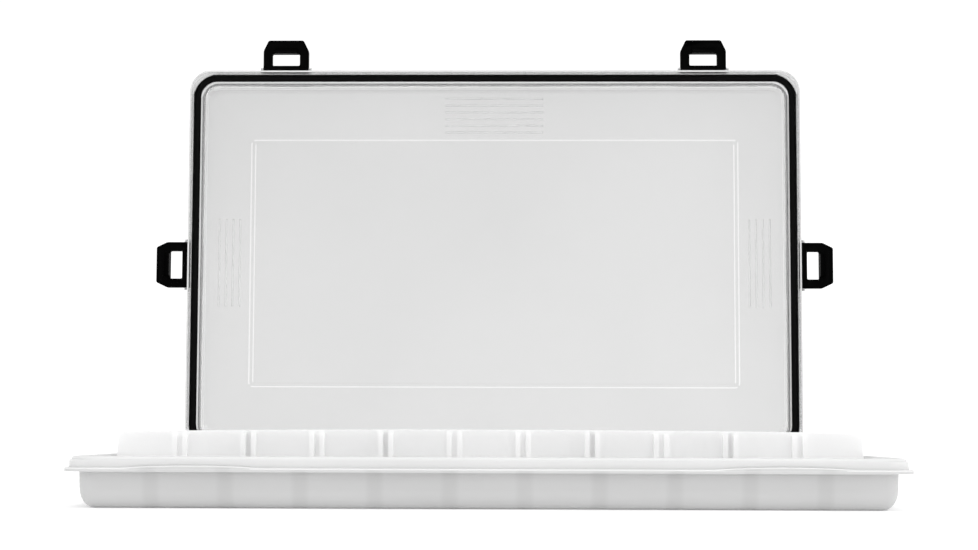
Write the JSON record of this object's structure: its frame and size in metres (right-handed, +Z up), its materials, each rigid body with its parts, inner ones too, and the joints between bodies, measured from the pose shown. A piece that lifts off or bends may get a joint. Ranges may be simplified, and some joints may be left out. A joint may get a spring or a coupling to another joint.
{
  "type": "waterproof utility tackle tray",
  "caption": "Shallow moulded tray with slotted partitions and lift-out dividers under a clear, sealed, hinged lid that snap latches hold down.",
  "frame": {"origin": "centre of the tray's underside, on the ground", "axes": "+X along the front edge to the right, +Y from the front to the hinge side, +Z up; lid open at 90 degrees"},
  "size_m": [0.3944, 0.2458, 0.262],
  "materials": {
    "white_base": "satin moulded",
    "clear_lid": "polished clear",
    "seal_rubber": "smooth",
    "latch_black": "satin moulded",
    "pin_steel": "drawn wire",
    "divider_plastic": "translucent moulded"
  },
  "bodies": {
    "tray": {"base_tray": "white_base", "hinge_pin_left": "pin_steel", "hinge_pin_right": "pin_steel"},
    "lid": {"lid": "clear_lid", "lid_gasket": "seal_rubber", "latch_pin_front_left": "pin_steel", "latch_pin_front_right": "pin_steel", "latch_pin_side_left": "pin_steel", "latch_pin_side_right": "pin_steel"},
    "latch_front_left": {"latch_front_left": "latch_black"},
    "latch_front_right": {"latch_front_right": "latch_black"},
    "latch_side_left": {"latch_side_left": "latch_black"},
    "latch_side_right": {"latch_side_right": "latch_black"},
    "divider_1": {"divider_1": "divider_plastic"},
    "divider_2": {"divider_2": "divider_plastic"},
    "divider_3": {"divider_3": "divider_plastic"},
    "divider_4": {"divider_4": "divider_plastic"},
    "divider_5": {"divider_5": "divider_plastic"},
    "divider_6": {"divider_6": "divider_plastic"},
    "divider_7": {"divider_7": "divider_plastic"},
    "divider_8": {"divider_8": "divider_plastic"},
    "divider_9": {"divider_9": "divider_plastic"},
    "divider_10": {"divider_10": "divider_plastic"},
    "divider_11": {"divider_11": "divider_plastic"},
    "divider_12": {"divider_12": "divider_plastic"}
  },
  "joints": [
    {"name": "lid_hinge", "type": "hinge", "parent": "tray", "child": "lid", "pos_m": [0, 0.1142, 0.0176], "axis": [-1, 0, 0], "range_deg": [-90, 0]},
    {"name": "latch_front_left_pivot", "type": "hinge", "parent": "lid", "child": "latch_front_left", "pos_m": [-0.1227, 0.1214, 0.24455], "axis": [-1, 0, 0], "range_deg": [-90, 45]},
    {"name": "latch_front_right_pivot", "type": "hinge", "parent": "lid", "child": "latch_front_right", "pos_m": [0.1227, 0.1214, 0.24455], "axis": [-1, 0, 0], "range_deg": [-90, 45]},
    {"name": "latch_side_left_pivot", "type": "hinge", "parent": "lid", "child": "latch_side_left", "pos_m": [-0.17975, 0.1214, 0.129], "axis": [0, 0, -1], "range_deg": [-90, 45]},
    {"name": "latch_side_right_pivot", "type": "hinge", "parent": "lid", "child": "latch_side_right", "pos_m": [0.17975, 0.1214, 0.129], "axis": [0, 0, 1], "range_deg": [-90, 45]},
    {"name": "divider_1_lift", "type": "slide", "parent": "tray", "child": "divider_1", "axis": [0, 0, 1], "range_m": [0, 0.035]},
    {"name": "divider_2_lift", "type": "slide", "parent": "tray", "child": "divider_2", "axis": [0, 0, 1], "range_m": [0, 0.035]},
    {"name": "divider_3_lift", "type": "slide", "parent": "tray", "child": "divider_3", "axis": [0, 0, 1], "range_m": [0, 0.035]},
    {"name": "divider_4_lift", "type": "slide", "parent": "tray", "child": "divider_4", "axis": [0, 0, 1], "range_m": [0, 0.035]},
    {"name": "divider_5_lift", "type": "slide", "parent": "tray", "child": "divider_5", "axis": [0, 0, 1], "range_m": [0, 0.035]},
    {"name": "divider_6_lift", "type": "slide", "parent": "tray", "child": "divider_6", "axis": [0, 0, 1], "range_m": [0, 0.035]},
    {"name": "divider_7_lift", "type": "slide", "parent": "tray", "child": "divider_7", "axis": [0, 0, 1], "range_m": [0, 0.035]},
    {"name": "divider_8_lift", "type": "slide", "parent": "tray", "child": "divider_8", "axis": [0, 0, 1], "range_m": [0, 0.035]},
    {"name": "divider_9_lift", "type": "slide", "parent": "tray", "child": "divider_9", "axis": [0, 0, 1], "range_m": [0, 0.035]},
    {"name": "divider_10_lift", "type": "slide", "parent": "tray", "child": "divider_10", "axis": [0, 0, 1], "range_m": [0, 0.035]},
    {"name": "divider_11_lift", "type": "slide", "parent": "tray", "child": "divider_11", "axis": [0, 0, 1], "range_m": [0, 0.035]},
    {"name": "divider_12_lift", "type": "slide", "parent": "tray", "child": "divider_12", "axis": [0, 0, 1], "range_m": [0, 0.035]}
  ]
}
